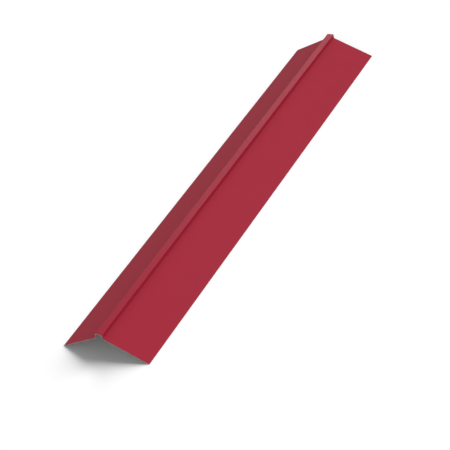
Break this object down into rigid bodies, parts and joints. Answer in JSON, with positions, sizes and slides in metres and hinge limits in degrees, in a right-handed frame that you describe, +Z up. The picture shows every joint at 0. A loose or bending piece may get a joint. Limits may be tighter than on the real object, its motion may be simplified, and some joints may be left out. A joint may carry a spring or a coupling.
{
  "type": "roof ridge cap",
  "caption": "Roof ridge cap folded from painted sheet steel: a shallow open V with a square rib along its top and hemmed long edges.",
  "frame": {"origin": "on the floor under the middle of the cap, midway between its two long edges", "axes": "+X across the roof towards the right wing, +Y along the ridge, +Z up"},
  "size_m": [0.374, 2, 0.1004],
  "materials": {
    "painted_sheet": "coil-coated ruby red, semi-gloss"
  },
  "bodies": {
    "root": {"ridge_cap": "painted_sheet"}
  },
  "joints": []
}
